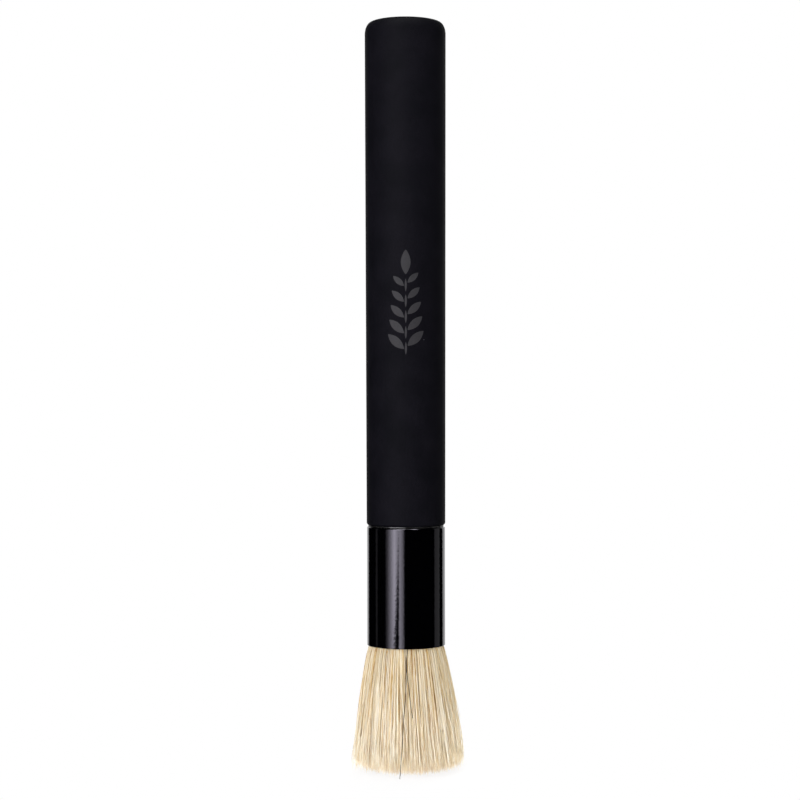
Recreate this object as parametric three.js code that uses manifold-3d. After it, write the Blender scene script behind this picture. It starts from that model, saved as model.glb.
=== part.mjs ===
// Round stencil brush, millimetres, +Z up.
// The brush stands as it is held in use: bristle tips on the plane z = 0, handle straight up.
// The origin is the centre of the flat working face of the bristles.
//
// It goes together as on the bench. Tufts of hog bristle fill the lower end of a drawn
// aluminium tube, the ferrule, and their roots are cast into a plug of resin inside it. The
// handle is a turned beech core under a soft-touch rubber coat. Its tenon is glued into the
// upper end of the ferrule, and the glue squeezes out as a bead under the handle's shoulder.

import * as THREE from 'three';
import { mergeVertices } from 'three/addons/utils/BufferGeometryUtils.js';
import Module from 'manifold-3d';

const wasm = await Module();
wasm.setup();

// ---------------------------------------------------------------- driving dimensions

const BRISTLES_SHOWING = 31; // from the ferrule's lower rim to the tips
const FERRULE_LENGTH = 29.5;
const FERRULE_RADIUS = 19.5 / 2; // drawn round a three-quarter inch bundle
const FERRULE_WALL = 0.4;
const HANDLE_LENGTH = 125.7; // from the shoulder to the butt
const HANDLE_RADIUS_AT_SHOULDER = 9.82;
const HANDLE_RADIUS_AT_BUTT = 10.12;
const COAT_THICKNESS = 0.25;
const TENON_LENGTH = 13.5;
const FIT_GAP = 0.05; // left between two pieces that are glued or coated together

// Heights, upwards from the bristle tips.
const FERRULE_RIM_Z = BRISTLES_SHOWING;
const FERRULE_TOP_Z = FERRULE_RIM_Z + FERRULE_LENGTH;
const GLUE_LINE = 0.4; // thickness of the glue between the ferrule and the shoulder
const SHOULDER_Z = FERRULE_TOP_Z + GLUE_LINE;
const BUTT_Z = SHOULDER_Z + HANDLE_LENGTH;
const TENON_END_Z = SHOULDER_Z - TENON_LENGTH;

const BORE_RADIUS = FERRULE_RADIUS - FERRULE_WALL;
const SEGMENTS = 48; // facets round every turned piece, a multiple of the tuft counts

// ---------------------------------------------------------------- materials

const material = (color, roughness, metalness = 0) =>
  new THREE.MeshStandardMaterial({ color, roughness, metalness });

const BEECH = material(0xc79a66, 0.7);
const SOFT_TOUCH = material(0x17171b, 0.75);
const BLACK_LACQUER = material(0x040405, 0.12, 0.6);
const CLEAR_GLUE = material(0x2a2724, 0.2);
const AMBER_RESIN = material(0xb07a34, 0.3);
const HOG_BRISTLE = material(0xd9c7a1, 0.6);

// ---------------------------------------------------------------- shaping helpers

// A solid of revolution about +Z. The profile is a list of (radius, height) points, and it
// starts and ends on the axis or closes on itself, anticlockwise with radius to the right.
function turned(profile) {
  return new THREE.LatheGeometry(profile, SEGMENTS).rotateX(Math.PI / 2);
}

// The profile points along a THREE.Path, with four chords to each curved stretch.
function profileOf(draw) {
  const path = new THREE.Path();
  draw(path);
  return path.getPoints(2);
}

const closed = (profile) => [...profile, profile[0].clone()];

function toSolid(geometry) {
  const bare = geometry.clone();
  bare.deleteAttribute('normal');
  bare.deleteAttribute('uv');
  const merged = mergeVertices(bare, 1e-4);
  return new wasm.Manifold(
    new wasm.Mesh({
      numProp: 3,
      vertProperties: merged.attributes.position.array,
      triVerts: new Uint32Array(merged.index.array),
    }),
  );
}

function toGeometry(solid) {
  const { vertProperties, triVerts } = solid.getMesh();
  const geometry = new THREE.BufferGeometry();
  geometry.setAttribute('position', new THREE.BufferAttribute(vertProperties, 3));
  geometry.setIndex(new THREE.BufferAttribute(triVerts, 1));
  geometry.computeVertexNormals();
  return geometry;
}

function piece(name, geometry, look) {
  const mesh = new THREE.Mesh(geometry, look);
  mesh.name = name;
  return mesh;
}

// ---------------------------------------------------------------- handle

const BUTT_FLAT_RADIUS = 6; // the middle of the butt is flat
const BUTT_CORNER_WIDTH = 1.55;
const BUTT_CORNER_HEIGHT = 2.9;
const BUTT_CROWN = 0.35; // how far the butt falls from the flat to the rounded corner
const SHOULDER_FILLET = 0.7;
const TENON_RADIUS = 8.75;
const TENON_CHAMFER = 0.8;
const COAT_EDGE = 0.35; // how far from the tenon the coat ends on the shoulder's face
const GROOVE_DEPTH = 0.35;
const GROOVE_WIDTH = 1.2;
const GROOVE_HEIGHTS = [TENON_END_Z + 3.5, TENON_END_Z + 8]; // lower edge of each glue groove

// Up the outside of the handle, from the shoulder's edge to the axis at the butt, drawn
// `inset` inside the finished surface.
function handleOutline(path, inset) {
  const low = HANDLE_RADIUS_AT_SHOULDER - inset;
  const high = HANDLE_RADIUS_AT_BUTT - inset;
  const fillet = SHOULDER_FILLET - inset;
  const bottom = SHOULDER_Z + inset;
  const top = BUTT_Z - inset;
  const cornerTop = top - BUTT_CROWN;
  path.lineTo(low - fillet, bottom);
  path.absarc(low - fillet, bottom + fillet, fillet, -Math.PI / 2, 0);
  path.lineTo(high, cornerTop - BUTT_CORNER_HEIGHT);
  path.absellipse(
    high - BUTT_CORNER_WIDTH, cornerTop - BUTT_CORNER_HEIGHT,
    BUTT_CORNER_WIDTH, BUTT_CORNER_HEIGHT, 0, Math.PI / 2,
  );
  path.lineTo(BUTT_FLAT_RADIUS, top);
  path.lineTo(0, top);
}

// The corners of the tenon's glue grooves, upwards, at a radius beside it.
function grooveCorners(radius) {
  const floor = radius - GROOVE_DEPTH;
  return GROOVE_HEIGHTS.flatMap((z) => [
    new THREE.Vector2(radius, z),
    new THREE.Vector2(floor, z),
    new THREE.Vector2(floor, z + GROOVE_WIDTH),
    new THREE.Vector2(radius, z + GROOVE_WIDTH),
  ]);
}

// Turned beech: the grip and, below the shoulder, the tenon with its two glue grooves.
function handleCore() {
  const inset = COAT_THICKNESS + FIT_GAP;
  const profile = profileOf((path) => {
    path.moveTo(0, TENON_END_Z);
    path.lineTo(TENON_RADIUS - TENON_CHAMFER, TENON_END_Z);
    path.lineTo(TENON_RADIUS, TENON_END_Z + TENON_CHAMFER);
    grooveCorners(TENON_RADIUS).forEach((corner) => path.lineTo(corner.x, corner.y));
    path.lineTo(TENON_RADIUS, SHOULDER_Z + inset);
    handleOutline(path, inset);
  });
  return turned(profile);
}

// The dipped rubber coat: a thin cup over the grip, which ends on the shoulder's face.
function handleCoating() {
  const edge = TENON_RADIUS + COAT_EDGE;
  const outside = profileOf((path) => {
    path.moveTo(edge, SHOULDER_Z);
    handleOutline(path, 0);
  });
  const inside = profileOf((path) => {
    path.moveTo(edge, SHOULDER_Z + COAT_THICKNESS);
    handleOutline(path, COAT_THICKNESS);
  });
  return turned(closed([...outside, ...inside.reverse()]));
}

// ---------------------------------------------------------------- ferrule and its glue

const LIP_ROUND = 0.3; // the ferrule's upper edge is spun round
const RIM_BREAK = 0.12; // and its lower edge only broken
const BEAD_INSET = 0.3; // how far the bead of glue stays inside the ferrule's outside
const FILM_START = 1; // how far up the tenon's side the glue begins

// A seamless drawn tube.
function ferrule() {
  const outer = FERRULE_RADIUS;
  const profile = profileOf((path) => {
    path.moveTo(BORE_RADIUS, FERRULE_RIM_Z);
    path.lineTo(outer - RIM_BREAK, FERRULE_RIM_Z);
    path.lineTo(outer, FERRULE_RIM_Z + RIM_BREAK);
    path.lineTo(outer, FERRULE_TOP_Z - LIP_ROUND);
    path.absarc(outer - LIP_ROUND, FERRULE_TOP_Z - LIP_ROUND, LIP_ROUND, 0, Math.PI / 2);
    path.lineTo(BORE_RADIUS, FERRULE_TOP_Z);
  });
  return turned(closed(profile));
}

// Glue between the tenon and the bore, filling the grooves, with the bead that squeezes out
// over the ferrule's upper edge.
function ferruleGlue() {
  const inner = TENON_RADIUS + FIT_GAP;
  const outer = BORE_RADIUS - FIT_GAP;
  const filmBottom = TENON_END_Z + TENON_CHAMFER + FILM_START;
  const beadBottom = FERRULE_TOP_Z + FIT_GAP;
  const beadTop = SHOULDER_Z - FIT_GAP;
  const round = (beadTop - beadBottom) / 2;
  const beadCentre = FERRULE_RADIUS - BEAD_INSET - round;
  const profile = profileOf((path) => {
    path.moveTo(inner, filmBottom);
    path.lineTo(outer, filmBottom);
    path.lineTo(outer, beadBottom);
    path.lineTo(beadCentre, beadBottom);
    path.absarc(beadCentre, beadBottom + round, round, -Math.PI / 2, Math.PI / 2);
    path.lineTo(inner, beadTop);
    grooveCorners(inner).reverse().forEach((corner) => path.lineTo(corner.x, corner.y));
  });
  return turned(closed(profile));
}

// ---------------------------------------------------------------- bristles

const ROOT_END_Z = FERRULE_RIM_Z + 12;
const ROOT_CLEARANCE = 0.15; // between the bundle and the bore
const ROOT_RADIUS = BORE_RADIUS - ROOT_CLEARANCE;
const FLARE = 0.54; // share by which the bundle would be wider at the tips' plane
const FLARE_POWER = 0.76; // under 1, so the bundle spreads fastest just below the rim
const FLAT_SHARE = 0.64; // share of the bundle's radius that ends on the flat working face
const TIP_ROUND_HEIGHT = 4.2; // how far the outermost bristles stop short of that face
const TUFT_GAP = 0.15;
const RESIN_BOTTOM_Z = FERRULE_RIM_Z + 7.5;
const RESIN_TOP_Z = ROOT_END_Z + 3;
const RESIN_WEB = 0.7; // resin between the roots of two tufts
const RESIN_SKIN = 0.3; // resin between the outer roots and the bore
const SOCKET_CLEARANCE = 0.1;
const TUFT_TOP_Z = RESIN_BOTTOM_Z - 0.3; // above this a tuft narrows to its root
const ROOT_OVERLAP = 0.2; // how far the root is let into the tuft, so the two join
const FLARE_STEPS = 5; // stretches in a bristle's curve
const STEP_CROWDING = 1.6; // over 1, so they get shorter towards the rim
const FACE_STEPS = 4; // stretches in the rounded edge of the working face

// Rings of tufts from the axis outwards: radii inside the ferrule, and how many tufts.
const RINGS = [
  { name: 'bristle_core', inner: 0, outer: 3.4, count: 1 },
  { name: 'bristle_tuft_inner', inner: 3.4, outer: 6.2, count: 6 },
  { name: 'bristle_tuft_outer', inner: 6.2, outer: ROOT_RADIUS, count: 12 },
];

// How many times wider the bundle is at a height than it is inside the ferrule.
function flareAt(z) {
  const below = Math.max(0, FERRULE_RIM_Z - z) / BRISTLES_SHOWING;
  return 1 + FLARE * below ** FLARE_POWER;
}

// Where a bristle ends that starts at this radius: on the flat face, or on its rounded edge.
function tipHeight(radius) {
  const across = (radius / ROOT_RADIUS - FLAT_SHARE) / (1 - FLAT_SHARE);
  return across <= 0 ? 0 : TIP_ROUND_HEIGHT * (1 - Math.sqrt(1 - Math.min(1, across) ** 2));
}

const flared = (radius, z) => new THREE.Vector2(radius * flareAt(z), z);

// The curve of one bristle that starts at this radius, from its tip up to the rim.
function bristleCurve(radius) {
  const tip = tipHeight(radius);
  const points = [];
  for (let i = 0; i <= FLARE_STEPS; i++) {
    const share = 1 - (1 - i / FLARE_STEPS) ** STEP_CROWDING;
    points.push(flared(radius, THREE.MathUtils.lerp(tip, FERRULE_RIM_Z, share)));
  }
  return points;
}

// The tips between two radii, from the inner bristle curve to the outer one.
function workingFace(inner, outer) {
  const points = [flared(inner, tipHeight(inner))];
  if (tipHeight(outer) === 0) return points;
  const rounded = Math.max(inner, FLAT_SHARE * ROOT_RADIUS);
  for (let i = 0; i < FACE_STEPS; i++) {
    const radius = THREE.MathUtils.lerp(rounded, outer, i / FACE_STEPS);
    if (radius > inner) points.push(flared(radius, tipHeight(radius)));
  }
  return points;
}

// A ring of tufts between two radii, from the tips up to TUFT_TOP_Z.
function flaredRing(inner, outer) {
  const top = [new THREE.Vector2(outer, TUFT_TOP_Z), new THREE.Vector2(inner, TUFT_TOP_Z)];
  const points = [...workingFace(inner, outer), ...bristleCurve(outer), ...top];
  if (inner === 0) return turned(points);
  const back = bristleCurve(inner).reverse().slice(0, -1);
  return turned(closed([...points, ...back]));
}

function straightRing(inner, outer, bottom, top) {
  const corners = [[inner, bottom], [outer, bottom], [outer, top], [inner, top]];
  const points = corners.map(([radius, z]) => new THREE.Vector2(radius, z));
  return turned(inner > 0 ? closed(points) : points);
}

// The part of a ring that one tuft fills: its share of the circle, less half the gap on each
// side, cut with a triangular prism whose apex points at the axis.
function tuftShare(ringSolid, ring, index, gap) {
  if (ring.count === 1) return ringSolid;
  const half = Math.PI / ring.count;
  const apex = gap / 2 / Math.sin(half);
  const far = 3 * FERRULE_RADIUS;
  const shape = new THREE.Shape();
  shape.moveTo(apex, 0);
  shape.lineTo(apex + far, -far * Math.tan(half));
  shape.lineTo(apex + far, far * Math.tan(half));
  const depth = 2 * RESIN_TOP_Z;
  const prism = new THREE.ExtrudeGeometry(shape, { depth, bevelEnabled: false });
  prism.translate(0, 0, -depth / 4).rotateZ(2 * half * index);
  return ringSolid.intersect(toSolid(prism));
}

// The stretch of a tuft's root that stands in the resin, `grow` larger than the root itself.
function rootSolid(ring, index, grow) {
  const pinch = RESIN_WEB / 2 - grow;
  const inner = ring.inner === 0 ? 0 : ring.inner + pinch;
  const outer = ring.outer === ROOT_RADIUS ? ROOT_RADIUS - RESIN_SKIN + grow : ring.outer - pinch;
  const bottom = TUFT_TOP_Z - ROOT_OVERLAP - grow;
  const root = toSolid(straightRing(inner, outer, bottom, ROOT_END_Z + grow));
  return tuftShare(root, ring, index, RESIN_WEB - 2 * grow);
}

// One tuft: hundreds of bristles as a single solid.
function tuftSolid(ring, index) {
  const inner = ring.inner === 0 ? 0 : ring.inner + TUFT_GAP / 2;
  const outer = ring.outer === ROOT_RADIUS ? ring.outer : ring.outer - TUFT_GAP / 2;
  const body = tuftShare(toSolid(flaredRing(inner, outer)), ring, index, TUFT_GAP);
  return body.add(rootSolid(ring, index, 0));
}

// Calls visit(ring, index, name) for every tuft.
function eachTuft(visit) {
  for (const ring of RINGS) {
    for (let index = 0; index < ring.count; index++) {
      const number = String(index + 1).padStart(2, '0');
      visit(ring, index, ring.count === 1 ? ring.name : `${ring.name}_${number}`);
    }
  }
}

// Epoxy poured on the roots inside the ferrule: a disc with a socket round every tuft.
function bristleResin() {
  const radius = BORE_RADIUS - FIT_GAP;
  let plug = toSolid(straightRing(0, radius, RESIN_BOTTOM_Z, RESIN_TOP_Z));
  eachTuft((ring, index) => {
    plug = plug.subtract(rootSolid(ring, index, SOCKET_CLEARANCE));
  });
  return toGeometry(plug);
}

// ---------------------------------------------------------------- assembly

const brush = new THREE.Group();
brush.name = 'round_stencil_brush';

const handle = new THREE.Group();
handle.add(piece('handle_core', handleCore(), BEECH));
handle.add(piece('handle_coating', handleCoating(), SOFT_TOUCH));

const head = new THREE.Group();
head.add(piece('ferrule', ferrule(), BLACK_LACQUER));
head.add(piece('ferrule_glue', ferruleGlue(), CLEAR_GLUE));
head.add(piece('bristle_resin', bristleResin(), AMBER_RESIN));
eachTuft((ring, index, name) => {
  head.add(piece(name, toGeometry(tuftSolid(ring, index)), HOG_BRISTLE));
});

brush.add(handle, head);

export default brush;
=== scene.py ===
import math

import bmesh
import bpy
import numpy as np
from mathutils import Matrix, Vector, noise


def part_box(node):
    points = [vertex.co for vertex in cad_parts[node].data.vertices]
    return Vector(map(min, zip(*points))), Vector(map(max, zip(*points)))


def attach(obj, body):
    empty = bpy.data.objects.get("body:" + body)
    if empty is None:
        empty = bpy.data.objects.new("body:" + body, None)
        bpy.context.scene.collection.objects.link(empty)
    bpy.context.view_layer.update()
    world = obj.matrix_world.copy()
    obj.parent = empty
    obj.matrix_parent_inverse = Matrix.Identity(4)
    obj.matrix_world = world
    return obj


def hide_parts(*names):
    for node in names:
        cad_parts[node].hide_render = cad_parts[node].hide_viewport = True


# A round stencil brush that stands on its bristle tips, in metres, +Z up the handle.
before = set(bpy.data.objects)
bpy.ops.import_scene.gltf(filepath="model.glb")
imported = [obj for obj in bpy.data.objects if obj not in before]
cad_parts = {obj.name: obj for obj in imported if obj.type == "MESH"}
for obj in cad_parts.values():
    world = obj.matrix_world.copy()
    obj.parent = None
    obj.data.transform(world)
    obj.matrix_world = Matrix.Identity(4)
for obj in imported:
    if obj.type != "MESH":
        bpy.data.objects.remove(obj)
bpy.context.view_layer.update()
MM = 0.001


# ---- bristles -------------------------------------------------------------------------------
# Bleached hog bristle: about eight thousand tapered hairs of keratin with split ends, set butt
# first in the ferrule. They spread below its rim, and the tips are cupped to a flat face with a
# rounded edge. Each tuft of the frame is made of the separate bristles that stand in its place.

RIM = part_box("ferrule")[0].z
ROOT_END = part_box("bristle_core")[1].z
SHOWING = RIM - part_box("bristle_core")[0].z
BUNDLE_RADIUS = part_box("bristle_resin")[1].x - 0.1 * MM
BRISTLES = 8000
LOCKS = 420
TUFT_RINGS = [
    ("bristle_core", 0, 1), ("bristle_tuft_inner", 3.4 * MM, 6), ("bristle_tuft_outer", 6.2 * MM, 12)]
GOLDEN_ANGLE = math.pi * (3 - math.sqrt(5))
FLARE, FLARE_POWER = 0.54, 0.76
FLAT_SHARE = 0.62
TIP_ROUND_HEIGHT = 4.6 * MM
TIP_UNEVENNESS = 0.55 * MM
SHORT_SHARE, SHORTEST_BY = 0.12, 9 * MM
LEAN = 0.6 * MM
OWN_SWAY, LOCK_SWAY, CURL = 0.4 * MM, 0.25 * MM, 0.12 * MM
STRAY_SHARE, STRAY_SWAY = 0.07, 2
REACH = 14.2 * MM
FLOOR_GAP = 0.02 * MM

# One bristle of unit size: a three-sided shaft along Z, cut across where it may bend, and the
# two thin flags that its end splits into. Below 0 it stands in the ferrule; 1 is its tip. A flag
# starts a little inside the shaft and off its middle, and its end leans outwards.
ROOT_SHARE = -(ROOT_END - RIM) / SHOWING
SPLIT = 0.9
FLAG_START, FLAG_OVERLAP, FLAG_LEAN = 0.2, 0.01, 1.2
BENDS = [0, 0.04, 0.1, 0.18, 0.28, 0.4, 0.53, 0.66, 0.79]
one = bmesh.new()
shaft = Matrix.Translation((0, 0, (ROOT_SHARE + SPLIT) / 2))
bmesh.ops.create_cone(
    one, cap_ends=True, segments=3, radius1=1, radius2=0.7, depth=SPLIT - ROOT_SHARE, matrix=shaft)
for bend in BENDS:
    everything = one.verts[:] + one.edges[:] + one.faces[:]
    bmesh.ops.bisect_plane(one, geom=everything, plane_co=(0, 0, bend), plane_no=(0, 0, 1))
for side in (-1, 1):
    length = 1 - SPLIT if side > 0 else 0.75 * (1 - SPLIT)
    foot = Matrix.Translation((FLAG_START * side, 0, SPLIT - FLAG_OVERLAP + length / 2))
    flag = bmesh.ops.create_cone(
        one, cap_ends=True, segments=3, radius1=0.5, radius2=0.12, depth=length + FLAG_OVERLAP, matrix=foot)
    flag_end = [v for v in flag["verts"] if v.co.z > SPLIT]
    bmesh.ops.translate(one, verts=flag_end, vec=(FLAG_LEAN * side, 0, 0))
bmesh.ops.recalc_face_normals(one, faces=one.faces)
unit_bristle = bpy.data.meshes.new("unit_bristle")
one.to_mesh(unit_bristle)
unit = np.array([vertex.co for vertex in one.verts])
one.free()

# Where each bristle is rooted: an even spiral over the ferrule's bore, shaken a little.
chance = np.random.default_rng(11)
order = np.arange(BRISTLES)
root_radius = BUNDLE_RADIUS * np.sqrt((order + 0.5) / BRISTLES)
root_angle = order * GOLDEN_ANGLE + chance.normal(0, 0.04, BRISTLES)
root = np.stack([root_radius * np.cos(root_angle), root_radius * np.sin(root_angle)], axis=1)

# Bristles cling together in locks, towards the one they are rooted next to.
lock_number = np.arange(LOCKS)
lock_radius = BUNDLE_RADIUS * np.sqrt((lock_number + 0.5) / LOCKS)
lock_angle = lock_number * GOLDEN_ANGLE + chance.normal(0, 0.25, LOCKS)
lock_root = np.stack([lock_radius * np.cos(lock_angle), lock_radius * np.sin(lock_angle)], axis=1)
lock = np.argmin(((root[:, None] - lock_root[None]) ** 2).sum(axis=2), axis=1)
cling = chance.uniform(0.0, 0.32, LOCKS)[lock] * chance.uniform(0.3, 1.2, BRISTLES)
lock_sway = chance.normal(0, LOCK_SWAY, (LOCKS, 2))[lock]

# How far up each bristle ends: cupped, then uneven by a few tenths of a millimetre, and some of
# them are short.
across = np.clip((root_radius / BUNDLE_RADIUS - FLAT_SHARE) / (1 - FLAT_SHARE), 0, 1)
tip = TIP_ROUND_HEIGHT * (1 - np.sqrt(1 - across ** 2)) * chance.uniform(0.05, 1.3, BRISTLES)
tip += chance.exponential(TIP_UNEVENNESS, BRISTLES)
tip += np.where(chance.random(BRISTLES) < SHORT_SHARE, chance.uniform(0, SHORTEST_BY, BRISTLES), 0)

# Two bristles that kept their brown lie outside the rest, at the front. Each point of their run
# is the share of the way down, and how far right and how far proud it is in millimetres. The
# second one ends half way down.
BROWN_RUNS = [
    [(0, -0.1, -0.8), (0.1, -0.1, -0.3), (0.16, -0.1, 0.2), (0.32, -0.1, 0.3), (0.42, -0.4, 0),
     (0.5, -0.65, 0.4), (0.63, -0.85, 0.5), (0.75, -1.05, 0.5), (0.87, -1.4, 0.4),
     (0.97, -1.55, 0.25), (1.0, -1.7, 0.15)],
    [(0, 0.3, 0.1), (0.12, -0.15, 0.3), (0.27, 0.45, 0.3), (0.42, 1.0, 0.3), (0.52, 1.4, 0.2),
     (0.55, 1.5, 0)]]
BROWN_TIPS = (0.05 * MM, 14.5 * MM)
brown = []
for way in BROWN_RUNS:
    off_start = np.hypot(root[:, 0] - way[0][1] * MM, root[:, 1] + BUNDLE_RADIUS)
    brown.append(np.argmin(off_start))
tip[brown] = BROWN_TIPS

# The run of every bristle, for every vertex of the unit bristle: spread, drawn to its lock,
# swayed, wavy and leaning a little to one side, but within reach of the rest.
along = unit[:, 2][None]
stretch = chance.uniform(0.6, 2.0, (BRISTLES, 1))
stretch[brown] = 1
below = np.clip(along, 0, None) ** stretch
height = np.where(along < 0, RIM - along * SHOWING, RIM - below * (RIM - tip[:, None]))
own_flare = FLARE * np.clip(chance.normal(0.95, 0.06, BRISTLES), 0.75, 1.06)
spread = 1 + own_flare[:, None] * (np.clip(RIM - height, 0, None) / SHOWING) ** FLARE_POWER
own_sway = chance.normal(0, OWN_SWAY, (BRISTLES, 2))
stray = (chance.random(BRISTLES) < STRAY_SHARE)[:, None]
own_sway = np.where(stray, own_sway * STRAY_SWAY, own_sway)
curl = chance.normal(0, CURL, (BRISTLES, 2))
turns, phase = chance.uniform(0.6, 1.8, (2, BRISTLES, 1))
wave = np.sin(2 * math.pi * (turns * below + phase)) - np.sin(2 * math.pi * phase)
run = root[:, None] * spread[..., None]
run += (lock_root[lock][:, None] * spread[..., None] - run) * (cling[:, None] * below ** 1.5)[..., None]
run += (own_sway + lock_sway)[:, None] * (below ** 1.6)[..., None]
run += curl[:, None] * (wave * below)[..., None]
run[..., 0] += LEAN * below ** 1.3
run *= np.minimum(1, REACH / np.hypot(run[..., 0], run[..., 1]).clip(1e-6))[..., None]
for bristle, way in zip(brown, BROWN_RUNS):
    shares, rightward, proud = np.array(way).T
    down = np.clip(RIM - height[bristle], 0, None) / SHOWING
    outside_radius = BUNDLE_RADIUS * (1 + FLARE * down ** FLARE_POWER)
    run[bristle, :, 0] = np.interp(down, shares, rightward) * MM
    run[bristle, :, 1] = -outside_radius - np.interp(down, shares, proud) * MM

# Its radius, out to its three corners, and the way its sides face. Strays are a little thicker
# than most. The brown ones don't split: both flags are gathered on the shaft's line and nearly
# as thick as it is.
USUAL_RADIUS, RADIUS_SPREAD = 0.12 * MM, 0.032 * MM
THINNEST, THICKEST = 0.055 * MM, 0.19 * MM
STRAY_RADIUS, BROWN_RADIUS = 0.15 * MM, 0.11 * MM
hair_radius = np.clip(chance.normal(USUAL_RADIUS, RADIUS_SPREAD, BRISTLES), THINNEST, THICKEST)[:, None]
hair_radius = np.where(stray, STRAY_RADIUS, hair_radius)
hair_radius[brown] = BROWN_RADIUS
section = np.tile(unit[:, :2], (BRISTLES, 1, 1))
flag_ends = np.flatnonzero(unit[:, 2] > SPLIT)
flag_middle = np.outer(np.sign(unit[flag_ends, 0]), (FLAG_START + FLAG_LEAN, 0))
gathered = 6 * (unit[flag_ends, :2] - flag_middle)
for bristle in brown:
    section[bristle, flag_ends] = gathered
twist = chance.uniform(0, 2 * math.pi, BRISTLES)[:, None]
side_x = section[..., 0] * np.cos(twist) - section[..., 1] * np.sin(twist)
side_y = section[..., 0] * np.sin(twist) + section[..., 1] * np.cos(twist)
places = np.dstack([run[..., 0] + hair_radius * side_x, run[..., 1] + hair_radius * side_y, height])
places[..., 2] = np.maximum(places[..., 2], FLOOR_GAP)

# How dark each one is, from 0 for ivory to 1 for tan. Strays are pale, those under the outermost
# ones are painted yellower, as painted shade in the gaps between hairs, and the brown ones are above 1.
PALE_SKIN = 0.14
BROWN_SHADE = 1.3
# Painted shade: hairs further in than the outermost ones are yellower, so the gaps between hairs look
# shaded.
depth = np.clip((1 - root_radius / BUNDLE_RADIUS) / PALE_SKIN, 0, 1)
shade = 0.22 * chance.random(LOCKS)[lock] + 0.85 * chance.random(BRISTLES) ** 1.6 - 0.05
shade = np.where(stray[:, 0], 0.3 * shade, np.clip(shade + 0.42 * depth, 0, 1))
shade[brown] = BROWN_SHADE


def linear(code):
    """The linear colour of an sRGB hex value."""
    parts = [int(code[i:i + 2], 16) / 255 for i in (1, 3, 5)]
    return [c / 12.92 if c <= 0.04045 else ((c + 0.055) / 1.055) ** 2.4 for c in parts] + [1]


def add_node(material, kind, settings=None, inputs=None):
    """Adds a node, sets its settings, and fills each input with a value or links it to a socket."""
    node = material.node_tree.nodes.new("ShaderNode" + kind)
    for name, value in (settings or {}).items():
        setattr(node, name, value)
    for name, value in (inputs or {}).items():
        if isinstance(value, bpy.types.NodeSocket):
            material.node_tree.links.new(value, node.inputs[name])
        else:
            node.inputs[name].default_value = value
    return node


def new_material(name):
    """A material with an empty node tree."""
    material = bpy.data.materials.new(name)
    material.use_nodes = True
    material.node_tree.nodes.clear()
    return material


# Keratin: a smooth, slightly waxy fibre that lets some light through, so the tuft glows at its
# edge. Bleached bristle runs from ivory to straw, in patches about 4 mm long. It is painted darker
# where it leaves the ferrule, as painted shade under the rim, and paler towards where it splits,
# partly as its own paler split ends and partly as painted light from the white table below. Two
# hairs kept their own brown. The slight emission stands for the light that would reach the gaps
# between hairs after many more bounces.
hog_bristle = new_material("bleached_hog_bristle")
shade_value = add_node(hog_bristle, "Attribute", {"attribute_name": "shade"}).outputs["Fac"]
along_value = add_node(hog_bristle, "Attribute", {"attribute_name": "along"}).outputs["Fac"]
place = add_node(hog_bristle, "TexCoord").outputs["Object"]
drawn_out = add_node(hog_bristle, "Mapping", inputs={"Vector": place, "Scale": (1, 1, 0.12)})
patches = add_node(hog_bristle, "TexNoise", inputs={
    "Vector": drawn_out.outputs[0], "Scale": 1 / (0.5 * MM), "Detail": 2.0})
patchy = add_node(hog_bristle, "MapRange", inputs={
    "Value": patches.outputs["Fac"], "From Min": 0.3, "From Max": 0.7, "To Min": -0.2, "To Max": 0.2})
patched_shade = add_node(hog_bristle, "Math", {"operation": "ADD"}, {
    0: shade_value, 1: patchy.outputs["Result"]})
ramp = add_node(hog_bristle, "ValToRGB", inputs={"Fac": patched_shade.outputs[0]})
stops = [(0.0, "#FEFDF6"), (0.35, "#FCF6E3"), (0.6, "#F3E5C0"), (0.85, "#E1C58C"), (0.99, "#BA8E4B")]
while len(ramp.color_ramp.elements) < len(stops):
    ramp.color_ramp.elements.new(0.5)
for element, (position, code) in zip(ramp.color_ramp.elements, stops):
    element.position = position
    element.color = linear(code)
height_parts = add_node(hog_bristle, "SeparateXYZ", inputs={"Vector": place})
# Painted shade: the colour is darker towards the ferrule's rim, as if shaded under it.
rim_shade_share = add_node(hog_bristle, "MapRange", inputs={
    "Value": height_parts.outputs["Z"], "From Min": 0.2 * SHOWING, "From Max": SHOWING})
rim_shaded = add_node(hog_bristle, "Mix", {"data_type": "RGBA", "blend_type": "MULTIPLY"}, {
    "Factor": rim_shade_share.outputs["Result"], 6: ramp.outputs["Color"], 7: linear("#E4DCCD")})
# Paler towards the tips: partly their own paler split ends, partly painted light from the white table
# below.
pale_and_lit_tips = add_node(hog_bristle, "MapRange", {"interpolation_type": "SMOOTHSTEP"}, {
    "Value": along_value, "From Min": 0.5, "From Max": 1.0, "To Min": 0.0, "To Max": 0.4})
tips_paled_and_lit = add_node(hog_bristle, "Mix", {"data_type": "RGBA"}, {
    "Factor": pale_and_lit_tips.outputs["Result"], 6: rim_shaded.outputs[2], 7: linear("#FFF9EC")})
kept_colour = add_node(hog_bristle, "Math", {"operation": "GREATER_THAN"}, {0: shade_value, 1: 1.1})
coloured = add_node(hog_bristle, "Mix", {"data_type": "RGBA"}, {
    "Factor": kept_colour.outputs[0], 6: tips_paled_and_lit.outputs[2], 7: linear("#3A322A")})
warmed = add_node(hog_bristle, "Mix", {"data_type": "RGBA", "blend_type": "MULTIPLY"}, {
    "Factor": 1.0, 6: coloured.outputs[2], 7: linear("#F5E5AE")})
fibre = add_node(hog_bristle, "BsdfPrincipled", inputs={
    "Base Color": coloured.outputs[2], "Roughness": 0.3, "IOR": 1.55,
    "Emission Color": warmed.outputs[2], "Emission Strength": 0.07})
glow = add_node(hog_bristle, "BsdfTranslucent", inputs={"Color": warmed.outputs[2]})
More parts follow.
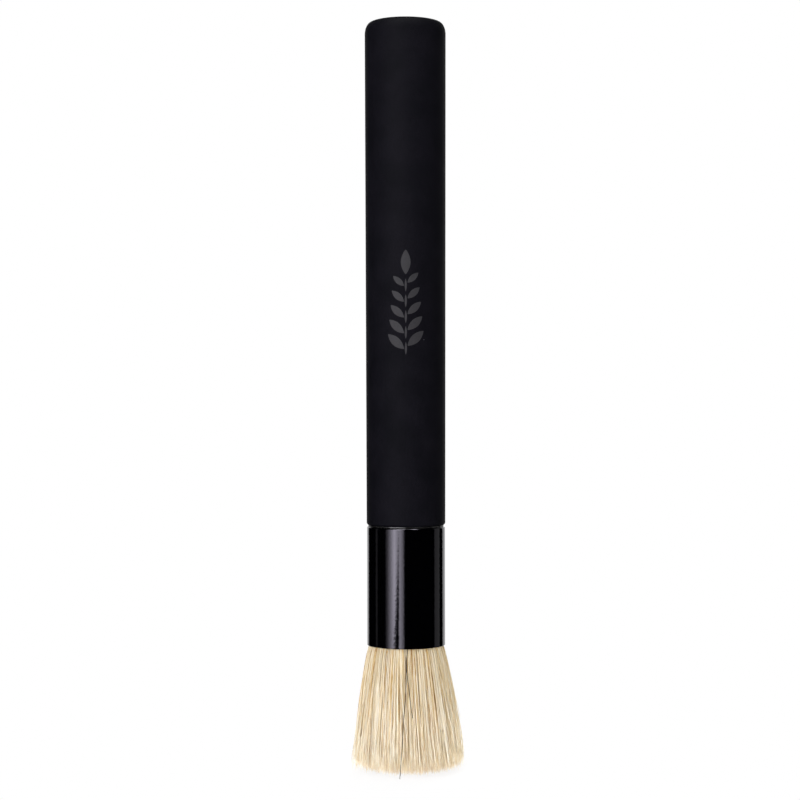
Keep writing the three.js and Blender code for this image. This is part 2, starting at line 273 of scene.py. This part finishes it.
fibre_mix = add_node(hog_bristle, "MixShader", inputs={0: 0.25, 1: fibre.outputs[0], 2: glow.outputs[0]})
add_node(hog_bristle, "OutputMaterial", inputs={"Surface": fibre_mix.outputs[0]})


def add_piece(name, mesh, material, node_names):
    """Puts a finished mesh in the scene as a piece that stands for those nodes."""
    piece = bpy.data.objects.new(name, mesh)
    bpy.context.scene.collection.objects.link(piece)
    mesh.materials.append(material)
    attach(piece, "root")
    if node_names:
        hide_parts(*node_names)
    return piece


for number, (ring_name, inner_radius, count) in enumerate(TUFT_RINGS):
    outer_radius = TUFT_RINGS[number + 1][1] if number + 1 < len(TUFT_RINGS) else math.inf
    in_ring = (root_radius >= inner_radius) & (root_radius < outer_radius)
    sector = np.round(root_angle / (2 * math.pi / count)).astype(int) % count
    for index in range(count):
        members = np.flatnonzero(in_ring & (sector == index))
        tuft = bmesh.new()
        for _ in members:
            tuft.from_mesh(unit_bristle)
        tuft_mesh = bpy.data.meshes.new("bristles")
        tuft.to_mesh(tuft_mesh)
        tuft.free()
        tuft_mesh.vertices.foreach_set("co", places[members].ravel())
        tuft_mesh.shade_smooth()
        shades = tuft_mesh.attributes.new("shade", "FLOAT", "POINT")
        shades.data.foreach_set("value", np.repeat(shade[members], len(unit)))
        alongs = tuft_mesh.attributes.new("along", "FLOAT", "POINT")
        alongs.data.foreach_set("value", np.tile(unit[:, 2], len(members)))
        node_name = ring_name if count == 1 else f"{ring_name}_{index + 1:02d}"
        add_piece("hog_" + node_name, tuft_mesh, hog_bristle, [node_name])
bpy.data.meshes.remove(unit_bristle)


# ---- setting resin --------------------------------------------------------------------------
# Amber epoxy, poured on the roots inside the ferrule. It is cast, clear and full of small
# bubbles, and no light reaches it once the handle is in.

setting_resin = new_material("cast_amber_epoxy")
place = add_node(setting_resin, "TexCoord").outputs["Object"]
cloud = add_node(setting_resin, "TexNoise", inputs={
    "Vector": place, "Scale": 1 / (4 * MM), "Detail": 3.0})
resin_colour = add_node(setting_resin, "Mix", {"data_type": "RGBA"}, {
    "Factor": cloud.outputs["Fac"], 6: linear("#8A5A22"), 7: linear("#C48A3E")})
bubbles = add_node(setting_resin, "TexVoronoi", inputs={"Vector": place, "Scale": 1 / (0.8 * MM)})
bubble_bump = add_node(setting_resin, "Bump", inputs={
    "Height": bubbles.outputs["Distance"], "Strength": 0.3, "Distance": 0.1 * MM})
resin_shader = add_node(setting_resin, "BsdfPrincipled", inputs={
    "Base Color": resin_colour.outputs[2], "Roughness": 0.12, "IOR": 1.55,
    "Normal": bubble_bump.outputs["Normal"]})
add_node(setting_resin, "OutputMaterial", inputs={"Surface": resin_shader.outputs[0]})
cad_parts["bristle_resin"].material_slots[0].material = setting_resin


# ---- ferrule --------------------------------------------------------------------------------
# A seamless tube drawn from aluminium, sprayed with gloss black lacquer and baked. The upper
# edge is spun round, a little unevenly, and the lower edge is only broken.

WALL = 0.4 * MM
FERRULE_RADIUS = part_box("ferrule")[1].x
FERRULE_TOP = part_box("ferrule")[1].z
LIP_ROUND = 0.3 * MM
EDGE_BREAK = 0.12 * MM
LIP_WAVE = 0.09 * MM
TURN_STEPS = 144


def turned(outline, closed=True):
    """A bmesh turned about Z from the corners of its section, given as (radius, height)."""
    shape = bmesh.new()
    corners = [shape.verts.new((radius, 0, height)) for radius, height in outline]
    for first, second in zip(corners, corners[1:]):
        shape.edges.new((first, second))
    if closed:
        shape.edges.new((corners[-1], corners[0]))
    bmesh.ops.spin(
        shape, geom=shape.verts[:] + shape.edges[:], cent=(0, 0, 0), axis=(0, 0, 1),
        angle=2 * math.pi, steps=TURN_STEPS, use_merge=True)
    bmesh.ops.remove_doubles(shape, verts=shape.verts, dist=0.0005 * MM)
    bmesh.ops.recalc_face_normals(shape, faces=shape.faces)
    return shape


def round_edge(shape, radius, height, size, segments):
    """Bevels the circular edge at that radius and height."""
    def on_circle(vertex):
        off = abs(vertex.co.xy.length - radius) + abs(vertex.co.z - height)
        return off < 0.001 * MM
    circle = [edge for edge in shape.edges if all(on_circle(v) for v in edge.verts)]
    rounded = bmesh.ops.bevel(
        shape, geom=circle, offset=size, offset_type="OFFSET", segments=segments,
        profile=0.5, affect="EDGES", material=-1)
    return rounded["verts"]


def smooth_mesh(name, shape):
    """The shape as a mesh with smooth shading."""
    mesh = bpy.data.meshes.new(name)
    shape.to_mesh(mesh)
    shape.free()
    mesh.shade_smooth()
    return mesh


tube = turned([
    (FERRULE_RADIUS - WALL, RIM), (FERRULE_RADIUS, RIM),
    (FERRULE_RADIUS, FERRULE_TOP), (FERRULE_RADIUS - WALL, FERRULE_TOP)])
round_edge(tube, FERRULE_RADIUS, FERRULE_TOP, LIP_ROUND, 6)
round_edge(tube, FERRULE_RADIUS, RIM, EDGE_BREAK, 3)
for vertex in tube.verts:
    nearness = max(0, 1 - (FERRULE_TOP - vertex.co.z) / LIP_ROUND)
    unevenness = noise.noise(vertex.co / (2.2 * MM)) + 0.7 * noise.noise(vertex.co / (0.8 * MM))
    vertex.co.z += LIP_WAVE * nearness * unevenness

# Baked gloss lacquer: nearly black, hard and clear on top, with the faint waviness that spray
# leaves, 0.6 mm from crest to crest.
black_lacquer = new_material("baked_gloss_black_lacquer")
place = add_node(black_lacquer, "TexCoord").outputs["Object"]
peel = add_node(black_lacquer, "TexNoise", inputs={
    "Vector": place, "Scale": 1 / (0.6 * MM), "Detail": 3.0})
peel_bump = add_node(black_lacquer, "Bump", inputs={
    "Height": peel.outputs["Fac"], "Strength": 0.8, "Distance": 0.015 * MM})
dust = add_node(black_lacquer, "TexNoise", inputs={
    "Vector": place, "Scale": 1 / (0.5 * MM), "Detail": 4.0})
haze = add_node(black_lacquer, "MapRange", inputs={
    "Value": dust.outputs["Fac"], "From Min": 0.35, "From Max": 0.75, "To Min": 0.05, "To Max": 0.1})
lacquer_colour = add_node(black_lacquer, "Mix", {"data_type": "RGBA"}, {
    "Factor": dust.outputs["Fac"], 6: linear("#000000"), 7: linear("#010102")})
lacquer_shader = add_node(black_lacquer, "BsdfPrincipled", inputs={
    "Base Color": lacquer_colour.outputs[2], "Roughness": haze.outputs["Result"], "IOR": 1.5,
    "Specular Tint": linear("#F5F0FF"), "Normal": peel_bump.outputs["Normal"]})
add_node(black_lacquer, "OutputMaterial", inputs={"Surface": lacquer_shader.outputs[0]})

tube_mesh = smooth_mesh("lacquered_ferrule", tube)
lacquered_ferrule = add_piece(
    "lacquered_ferrule", tube_mesh, black_lacquer, ["ferrule"])
lacquered_ferrule.modifiers.new("even_shading", "WEIGHTED_NORMAL")


# ---- glue -----------------------------------------------------------------------------------
# Black epoxy between the tenon and the ferrule. It fills the tenon's two grooves and is squeezed
# out under the handle's shoulder as a bead that sets wavy and shiny.

glue_low, glue_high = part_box("ferrule_glue")
TENON_RADIUS = 8.8 * MM
GROOVE_DEPTH = 0.35 * MM
GROOVE_WIDTH = 1.2 * MM
GROOVE_TOPS = [glue_low.z + 2.9 * MM, glue_low.z + 7.4 * MM]
FILM_RADIUS = FERRULE_RADIUS - WALL - 0.05 * MM
BEAD_ROUND = 0.14 * MM
BEAD_WAVE = 0.09 * MM
bead_bottom = FERRULE_TOP + 0.05 * MM
bead_top = glue_high.z + 0.07 * MM
inside = [(TENON_RADIUS, bead_top)]
for groove_top in reversed(GROOVE_TOPS):
    groove_bottom = groove_top - GROOVE_WIDTH
    inside += [
        (TENON_RADIUS, groove_top), (TENON_RADIUS - GROOVE_DEPTH, groove_top),
        (TENON_RADIUS - GROOVE_DEPTH, groove_bottom), (TENON_RADIUS, groove_bottom)]
inside.append((TENON_RADIUS, glue_low.z))
outside = [
    (FILM_RADIUS, glue_low.z), (FILM_RADIUS, bead_bottom),
    (glue_high.x, bead_bottom), (glue_high.x, bead_top)]
squeezed = turned(inside + outside)
round_edge(squeezed, glue_high.x, bead_bottom, BEAD_ROUND, 4)
round_edge(squeezed, glue_high.x, bead_top, BEAD_ROUND, 4)
for vertex in squeezed.verts:
    if vertex.co.z > FERRULE_TOP and vertex.co.xy.length > FILM_RADIUS:
        wavy = noise.noise(vertex.co / (1.1 * MM)) + 0.6 * noise.noise(vertex.co / (0.4 * MM))
        vertex.co.xy *= 1 + BEAD_WAVE * wavy / FERRULE_RADIUS

# Set epoxy with black pigment: glossy, with slow dimples.
black_epoxy = new_material("set_black_epoxy")
place = add_node(black_epoxy, "TexCoord").outputs["Object"]
dimples = add_node(black_epoxy, "TexNoise", inputs={
    "Vector": place, "Scale": 1 / (0.6 * MM), "Detail": 3.0})
dimple_bump = add_node(black_epoxy, "Bump", inputs={
    "Height": dimples.outputs["Fac"], "Strength": 0.5, "Distance": 0.08 * MM})
epoxy_colour = add_node(black_epoxy, "Mix", {"data_type": "RGBA"}, {
    "Factor": dimples.outputs["Fac"], 6: linear("#0A0A0B"), 7: linear("#1C1B1A")})
epoxy_shader = add_node(black_epoxy, "BsdfPrincipled", inputs={
    "Base Color": epoxy_colour.outputs[2], "Roughness": 0.22, "IOR": 1.55,
    "Normal": dimple_bump.outputs["Normal"]})
add_node(black_epoxy, "OutputMaterial", inputs={"Surface": epoxy_shader.outputs[0]})
glue_mesh = smooth_mesh("squeezed_glue", squeezed)
add_piece("squeezed_glue", glue_mesh, black_epoxy, ["ferrule_glue"])


# ---- handle core ----------------------------------------------------------------------------
# Beech, turned from a dowel. It is pale pinkish brown, with growth rings along the grain and the
# short dark flecks of beech. The coat covers it, so its turned shape from the frame is kept.

beech = new_material("turned_beech")
place = add_node(beech, "TexCoord").outputs["Object"]
RING_SPACING = 2.5 * MM
stretched = add_node(beech, "Mapping", inputs={"Vector": place, "Scale": (1, 1, 0.06)})
wander = add_node(beech, "TexNoise", inputs={
    "Vector": stretched.outputs[0], "Scale": 1 / (9 * MM), "Detail": 3.0})
wandering = add_node(beech, "MixRGB", inputs={
    0: 0.004, 1: stretched.outputs[0], 2: wander.outputs["Color"]})
rings = add_node(beech, "TexWave", {"wave_type": "BANDS", "bands_direction": "X"}, {
    "Vector": wandering.outputs[0], "Scale": 0.314 / RING_SPACING, "Distortion": 1.5, "Detail": 2.0})
flecks = add_node(beech, "TexVoronoi", inputs={"Vector": stretched.outputs[0], "Scale": 1 / (0.7 * MM)})
fleck_mask = add_node(beech, "MapRange", inputs={
    "Value": flecks.outputs["Distance"], "From Min": 0.12, "From Max": 0.3, "To Min": 0.7, "To Max": 0.0})
wood_colour = add_node(beech, "Mix", {"data_type": "RGBA"}, {
    "Factor": rings.outputs["Fac"], 6: linear("#D9B083"), 7: linear("#C59566")})
flecked = add_node(beech, "Mix", {"data_type": "RGBA"}, {
    "Factor": fleck_mask.outputs["Result"], 6: wood_colour.outputs[2], 7: linear("#8F6038")})
beech_shader = add_node(beech, "BsdfPrincipled", inputs={
    "Base Color": flecked.outputs[2], "Roughness": 0.6, "IOR": 1.5})
add_node(beech, "OutputMaterial", inputs={"Surface": beech_shader.outputs[0]})
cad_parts["handle_core"].material_slots[0].material = beech


# ---- handle coat ----------------------------------------------------------------------------
# Soft-touch rubber paint that the handle is dipped in, 0.25 mm thick: a cup that ends on the
# shoulder's face. The handle gets very slightly thicker towards the butt, which is nearly flat.

coat_low, coat_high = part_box("handle_coating")
COAT = 0.25 * MM
BUTT_RADIUS = coat_high.x
SHOULDER_RADIUS = 9.82 * MM
COAT_EDGE_RADIUS = 9.1 * MM
SHOULDER_ROUND = 0.7 * MM
FLAT_RADIUS = 6 * MM
CORNER_WIDTH = 1.55 * MM
CORNER_HEIGHT = 2.9 * MM
CROWN = 0.35 * MM
CROWN_STEPS = 6


def crown_line(outer_radius, top):
    """The butt's section from its corner to the axis: it falls away round a flat middle."""
    fall_end = outer_radius - CORNER_WIDTH - 0.05 * MM
    points = [(outer_radius, top - CROWN)]
    for step in range(CROWN_STEPS):
        share = 1 - step / CROWN_STEPS
        points.append((FLAT_RADIUS + (fall_end - FLAT_RADIUS) * share, top - CROWN * share ** 2))
    return points + [(FLAT_RADIUS, top), (0, top)]


def cup_line(inset):
    """The handle's section from the shoulder to the butt's middle, that far inside its surface."""
    bottom = coat_low.z + inset
    return [(SHOULDER_RADIUS - inset, bottom)] + crown_line(BUTT_RADIUS - inset, coat_high.z - inset)


outer_line = [(COAT_EDGE_RADIUS, coat_low.z)] + cup_line(0)
inner_line = [(COAT_EDGE_RADIUS, coat_low.z + COAT)] + cup_line(COAT)
coat = turned(outer_line[::-1] + inner_line, closed=False)
for inset in (0, COAT):
    corner_z = coat_high.z - inset - CROWN
    round_edge(coat, SHOULDER_RADIUS - inset, coat_low.z + inset, SHOULDER_ROUND - inset, 8)
    corner = round_edge(coat, BUTT_RADIUS - inset, corner_z, CORNER_WIDTH, 14)
    corner = [v for v in corner if v.co.z < corner_z]
    from_corner = Matrix.Translation((0, 0, -corner_z))
    bmesh.ops.scale(coat, verts=corner, vec=(1, 1, CORNER_HEIGHT / CORNER_WIDTH), space=from_corner)

# Soft-touch paint: matte and nearly black, faintly blue, with a fine velvet grain, drawn as
# coarse as 0.35 mm so that it shows, slow cloudiness, and a few specks of dust that cling to it.
soft_touch = new_material("soft_touch_rubber_paint")
place = add_node(soft_touch, "TexCoord").outputs["Object"]
grain = add_node(soft_touch, "TexNoise", inputs={
    "Vector": place, "Scale": 1 / (0.35 * MM), "Detail": 3.0})
clouds = add_node(soft_touch, "TexNoise", inputs={"Vector": place, "Scale": 1 / (7 * MM), "Detail": 2.0})
mottle = add_node(soft_touch, "Math", {"operation": "MULTIPLY"}, {
    0: grain.outputs["Fac"], 1: clouds.outputs["Fac"]})
mottle_range = add_node(soft_touch, "MapRange", inputs={
    "Value": mottle.outputs[0], "From Min": 0.12, "From Max": 0.4})
paint_colour = add_node(soft_touch, "Mix", {"data_type": "RGBA"}, {
    "Factor": mottle_range.outputs["Result"], 6: linear("#07070B"), 7: linear("#0D0C11")})
dust_cells = add_node(soft_touch, "TexVoronoi", inputs={"Vector": place, "Scale": 1 / (5 * MM)})
dust_rare = add_node(soft_touch, "SeparateColor", inputs={"Color": dust_cells.outputs["Color"]})
dust_size = add_node(soft_touch, "MapRange", inputs={
    "Value": dust_rare.outputs["Red"], "From Min": 0.6, "From Max": 1.0, "To Min": 0.0, "To Max": 0.035})
dust_mask = add_node(soft_touch, "Math", {"operation": "LESS_THAN"}, {
    0: dust_cells.outputs["Distance"], 1: dust_size.outputs["Result"]})
dusty = add_node(soft_touch, "Mix", {"data_type": "RGBA"}, {
    "Factor": dust_mask.outputs[0], 6: paint_colour.outputs[2], 7: linear("#4C4C50")})
paint_roughness = add_node(soft_touch, "MapRange", inputs={
    "Value": grain.outputs["Fac"], "From Min": 0.3, "From Max": 0.7, "To Min": 0.52, "To Max": 0.66})
grain_bump = add_node(soft_touch, "Bump", inputs={
    "Height": grain.outputs["Fac"], "Strength": 0.25, "Distance": 0.03 * MM})
paint_shader = add_node(soft_touch, "BsdfPrincipled", inputs={
    "Base Color": dusty.outputs[2], "Roughness": paint_roughness.outputs["Result"], "IOR": 1.45,
    "Specular IOR Level": 0.03, "Normal": grain_bump.outputs["Normal"]})
add_node(soft_touch, "OutputMaterial", inputs={"Surface": paint_shader.outputs[0]})

coat_mesh = smooth_mesh("soft_touch_coat", coat)
handle_coat = add_piece(
    "soft_touch_coat", coat_mesh, soft_touch, ["handle_coating"])
handle_coat.modifiers.new("even_shading", "WEIGHTED_NORMAL")


# ---- printed sprig --------------------------------------------------------------------------
# A sprig of leaves cut as a stencil, pad-printed in dark grey ink along the handle. Each leaf
# and each length of stem stands apart, as a stencil's openings do. The ink is a film on the coat.

PRINT_LOW, PRINT_HIGH = 101.6 * MM, 128.9 * MM
INK = 0.02 * MM
CUT = 0.35 * MM
LEAF_PAIRS = 5
LEAF_ANGLE = math.radians(48)
printing = bmesh.new()


def handle_radius(z):
    """The coat's radius at a height."""
    share = (z - coat_low.z) / (coat_high.z - coat_low.z)
    return SHOULDER_RADIUS + (BUTT_RADIUS - SHOULDER_RADIUS) * share


def add_leaf(foot, length, width, angle):
    """A pointed leaf in the XZ plane, from its foot, turned by that angle from straight up."""
    leaf = bmesh.ops.create_circle(printing, cap_ends=True, segments=28, radius=0.5)["verts"]
    for v in leaf:
        pinch = math.cos(math.pi * v.co.y) ** 0.6 if abs(v.co.y) < 0.5 else 0
        v.co = (v.co.x * width * (0.35 + 0.65 * pinch), 0, (v.co.y + 0.5) * length)
    bmesh.ops.rotate(printing, verts=leaf, cent=(0, 0, 0), matrix=Matrix.Rotation(angle, 3, "Y"))
    bmesh.ops.translate(printing, verts=leaf, vec=(foot[0], 0, foot[1]))


spacing = (PRINT_HIGH - PRINT_LOW - 8 * MM) / LEAF_PAIRS
for pair in range(LEAF_PAIRS):
    node_z = PRINT_LOW + 3 * MM + pair * spacing
    size = (5.4 - 0.45 * pair) * MM
    for side in (-1, 1):
        leaf_foot = (0.45 * MM * side, node_z + 0.8 * MM * (side > 0))
        add_leaf(leaf_foot, size, 0.4 * size, side * LEAF_ANGLE)
    add_leaf((0, node_z - 1.4 * MM), spacing - 0.7 * MM, 0.55 * MM, 0)
add_leaf((0, PRINT_HIGH - 6 * MM), 6 * MM, 2.4 * MM, 0)
for cut in np.arange(-6 * MM, 6 * MM, CUT):
    everything = printing.verts[:] + printing.edges[:] + printing.faces[:]
    bmesh.ops.bisect_plane(printing, geom=everything, plane_co=(cut, 0, 0), plane_no=(1, 0, 0))
for vertex in printing.verts:
    radius = handle_radius(vertex.co.z) + INK
    turn = vertex.co.x / radius
    vertex.co = (radius * math.sin(turn), -radius * math.cos(turn), vertex.co.z)
bmesh.ops.recalc_face_normals(printing, faces=printing.faces)
for face in printing.faces:
    if face.normal.dot(face.calc_center_median() * Vector((1, 1, 0))) < 0:
        face.normal_flip()

# Pad-printing ink: a satin dark grey, slightly broken where the matte coat takes it unevenly.
grey_ink = new_material("pad_printed_grey_ink")
place = add_node(grey_ink, "TexCoord").outputs["Object"]
broken = add_node(grey_ink, "TexNoise", inputs={"Vector": place, "Scale": 1 / (0.5 * MM), "Detail": 4.0})
ink_colour = add_node(grey_ink, "Mix", {"data_type": "RGBA"}, {
    "Factor": broken.outputs["Fac"], 6: linear("#1D1C1F"), 7: linear("#272629")})
ink_shader = add_node(grey_ink, "BsdfPrincipled", inputs={
    "Base Color": ink_colour.outputs[2], "Roughness": 0.6, "IOR": 1.5, "Specular IOR Level": 0.2})
add_node(grey_ink, "OutputMaterial", inputs={"Surface": ink_shader.outputs[0]})
print_mesh = smooth_mesh("printed_sprig", printing)
add_piece("printed_sprig", print_mesh, grey_ink, [])


# ---- floor ----------------------------------------------------------------------------------
# A white table top, lit so evenly that only a trace of shadow shows round the bristles. It throws
# more light on them than it shows itself, and the ferrule doesn't mirror it, as if the brush
# stood on a raised block.

floor_shape = bmesh.new()
bmesh.ops.create_circle(floor_shape, cap_ends=True, segments=96, radius=3)
floor = bpy.data.objects.new("floor", smooth_mesh("floor", floor_shape))
bpy.context.scene.collection.objects.link(floor)
floor.visible_glossy = False
white_table = new_material("white_table")
place = add_node(white_table, "TexCoord").outputs["Object"]
distance = add_node(white_table, "VectorMath", {"operation": "LENGTH"}, {0: place})
far = add_node(white_table, "MapRange", {"interpolation_type": "SMOOTHSTEP"}, {
    "Value": distance.outputs["Value"], "From Min": 0.01, "From Max": 0.03, "To Min": 0.85, "To Max": 1.0})
table_top = add_node(white_table, "BsdfDiffuse", inputs={"Color": (0.95, 0.95, 0.95, 1)})
looked_at = add_node(white_table, "LightPath").outputs["Is Camera Ray"]
lit = add_node(white_table, "MapRange", inputs={"Value": looked_at, "To Min": 1.8, "To Max": 1.0})
glare = add_node(white_table, "Emission", inputs={"Strength": lit.outputs["Result"]})
table_mix = add_node(white_table, "MixShader", inputs={
    0: far.outputs["Result"], 1: table_top.outputs[0], 2: glare.outputs[0]})
add_node(white_table, "OutputMaterial", inputs={"Surface": table_mix.outputs[0]})
floor.data.materials.append(white_table)


# ---- lights ---------------------------------------------------------------------------------
# A studio that is dark to the front and the sides, apart from what lights the brush: a large
# softbox to the left of the camera, strips at both sides, a soft top light and a white wall
# behind. A camera sees white all round, and none of the lights.


def add_panel(name, azimuth, distance, size, centre_z, radiance):
    """An upright panel light that faces the brush. Azimuth 0 is at the camera, 90 to its right."""
    lamp = bpy.data.lights.new(name, "AREA")
    lamp.shape = "RECTANGLE"
    lamp.size, lamp.size_y = size
    lamp.energy = radiance * math.pi * size[0] * size[1]
    holder = bpy.data.objects.new(name, lamp)
    bpy.context.scene.collection.objects.link(holder)
    angle = math.radians(azimuth)
    holder.location = (distance * math.sin(angle), -distance * math.cos(angle), centre_z)
    holder.rotation_euler = (math.pi / 2, 0, angle)
    holder.visible_camera = False
    return holder


add_panel("right_strip", 104, 0.9, (0.38, 1.2), 0.1, 0.3)
add_panel("left_strip", -97, 0.9, (0.12, 1.2), 0.1, 0.16)
add_panel("wall_behind", 176, 1.2, (1.98, 2.4), 0.3, 0.95)
top_light = add_panel("top_light", 20, 0.1, (1.0, 1.0), 1.2, 2.6)
top_light.rotation_euler = (math.radians(5), 0, 0)

# Two panels high in front give the ferrule's lip its glints, and no diffuse light.
LIP_LIGHTS = [("left_lip_light", -33, 0.42, 20.0), ("right_lip_light", 38, 0.26, 13.0)]
for name, azimuth, width, radiance in LIP_LIGHTS:
    lip_light = add_panel(name, azimuth, 0.75, (width, 0.8), 1.3, radiance)
    lip_light.rotation_euler = (math.radians(31), 0, math.radians(azimuth))
    lip_light.visible_diffuse = False

# Two fills, in front and behind, give diffuse light only, so nothing glossy mirrors them.
for name, azimuth, radiance in (("front_fill", -26, 16.5), ("back_fill", 165, 5.0)):
    fill = add_panel(name, azimuth, 1.2, (1.4, 1.4), 0.3, radiance)
    fill.visible_glossy = False

# The softbox is brightest near its middle and has a dimmer shelf on the right, and a seam splits
# its lower part like a wedge.
SOFTBOX_AZIMUTH = math.radians(-33)
SOFTBOX_DISTANCE = 1.0
SOFTBOX_RADIANCE = 7.8
SEAM_X, SEAM_TOP, SEAM_SLANT = 0.212, -0.018, 3.3
softbox_shape = bmesh.new()
bmesh.ops.create_grid(softbox_shape, x_segments=1, y_segments=1, size=0.5)
bmesh.ops.scale(softbox_shape, verts=softbox_shape.verts, vec=(1.2, 1.4, 1))
upright = Matrix.Rotation(math.pi / 2, 3, "X")
bmesh.ops.rotate(softbox_shape, verts=softbox_shape.verts, cent=(0, 0, 0), matrix=upright)
bmesh.ops.translate(softbox_shape, verts=softbox_shape.verts, vec=(0, 0, 0.3))
softbox = bpy.data.objects.new("softbox", smooth_mesh("softbox", softbox_shape))
bpy.context.scene.collection.objects.link(softbox)
softbox.location = (
    SOFTBOX_DISTANCE * math.sin(SOFTBOX_AZIMUTH), -SOFTBOX_DISTANCE * math.cos(SOFTBOX_AZIMUTH), 0)
softbox.rotation_euler = (0, 0, SOFTBOX_AZIMUTH)
softbox.visible_camera = False
softbox_cloth = new_material("softbox_cloth")
place = add_node(softbox_cloth, "TexCoord").outputs["Object"]
place_parts = add_node(softbox_cloth, "SeparateXYZ", inputs={"Vector": place})
glow_share = add_node(softbox_cloth, "MapRange", inputs={
    "Value": place_parts.outputs["X"], "From Min": -0.6, "From Max": 0.6})
glow_ramp = add_node(softbox_cloth, "ValToRGB", inputs={"Fac": glow_share.outputs["Result"]})
glow_stops = [
    (0.0, 0.0), (0.15, 0.1), (0.3, 0.4), (0.48, 1.0), (0.6, 0.65), (0.72, 0.6), (0.88, 0.25), (0.95, 0.0)]
while len(glow_ramp.color_ramp.elements) < len(glow_stops):
    glow_ramp.color_ramp.elements.new(0.5)
for element, (position, level) in zip(glow_ramp.color_ramp.elements, glow_stops):
    element.position = position
    element.color = (level, level, level, 1)
slant = add_node(softbox_cloth, "Math", {"operation": "MULTIPLY_ADD"}, {
    0: place_parts.outputs["Z"], 1: -SEAM_SLANT, 2: SEAM_SLANT * SEAM_TOP})
slanted_x = add_node(softbox_cloth, "Math", {"operation": "ADD"}, {
    0: place_parts.outputs["X"], 1: slant.outputs[0]})
seam_left = add_node(softbox_cloth, "MapRange", inputs={
    "Value": slanted_x.outputs[0], "From Min": SEAM_X - 0.012, "From Max": SEAM_X + 0.012})
seam_right = add_node(softbox_cloth, "MapRange", inputs={
    "Value": place_parts.outputs["X"], "From Min": SEAM_X - 0.02, "From Max": SEAM_X + 0.02,
    "To Min": 1.0, "To Max": 0.0})
seam = add_node(softbox_cloth, "Math", {"operation": "MULTIPLY"}, {
    0: seam_left.outputs["Result"], 1: seam_right.outputs["Result"]})
unseamed = add_node(softbox_cloth, "Math", {"operation": "SUBTRACT"}, {0: 1.0, 1: seam.outputs[0]})
glow_level = add_node(softbox_cloth, "Math", {"operation": "MULTIPLY"}, {
    0: glow_ramp.outputs["Color"], 1: unseamed.outputs[0]})
glow_strength = add_node(softbox_cloth, "Math", {"operation": "MULTIPLY"}, {
    0: glow_level.outputs[0], 1: SOFTBOX_RADIANCE})
softbox_glow = add_node(softbox_cloth, "Emission", inputs={
    "Color": linear("#FBFAFF"), "Strength": glow_strength.outputs[0]})
add_node(softbox_cloth, "OutputMaterial", inputs={"Surface": softbox_glow.outputs[0]})
softbox.data.materials.append(softbox_cloth)

world = bpy.data.worlds.new("studio")
bpy.context.scene.world = world
world.use_nodes = True
world.node_tree.nodes.clear()
seen = add_node(world, "LightPath").outputs["Is Camera Ray"]
white = add_node(world, "Background", inputs={"Color": (1, 1, 1, 1), "Strength": 1.0})
dim = add_node(world, "Background", inputs={"Color": (1, 1, 1, 1), "Strength": 0.0})
surroundings = add_node(world, "MixShader", inputs={0: seen, 1: dim.outputs[0], 2: white.outputs[0]})
add_node(world, "OutputWorld", inputs={"Surface": surroundings.outputs[0]})
bpy.context.scene.view_settings.view_transform = "Standard"


# ---- camera ---------------------------------------------------------------------------------
# Level, a little below the middle of the brush's height, and close enough for the rims of the
# ferrule to show as shallow curves.

CAMERA_DISTANCE = 472.2 * MM
CAMERA_HEIGHT = 92.1 * MM
CAMERA_SHIFT = -1.45 * MM
CAMERA_ROLL = math.radians(0.1)
eye = bpy.data.cameras.new("camera")
eye.lens, eye.sensor_width = 85, 36
camera = bpy.data.objects.new("camera", eye)
bpy.context.scene.collection.objects.link(camera)
camera.location = (CAMERA_SHIFT, -CAMERA_DISTANCE, CAMERA_HEIGHT)
camera.rotation_euler = (math.pi / 2, CAMERA_ROLL, 0)
bpy.context.scene.camera = camera
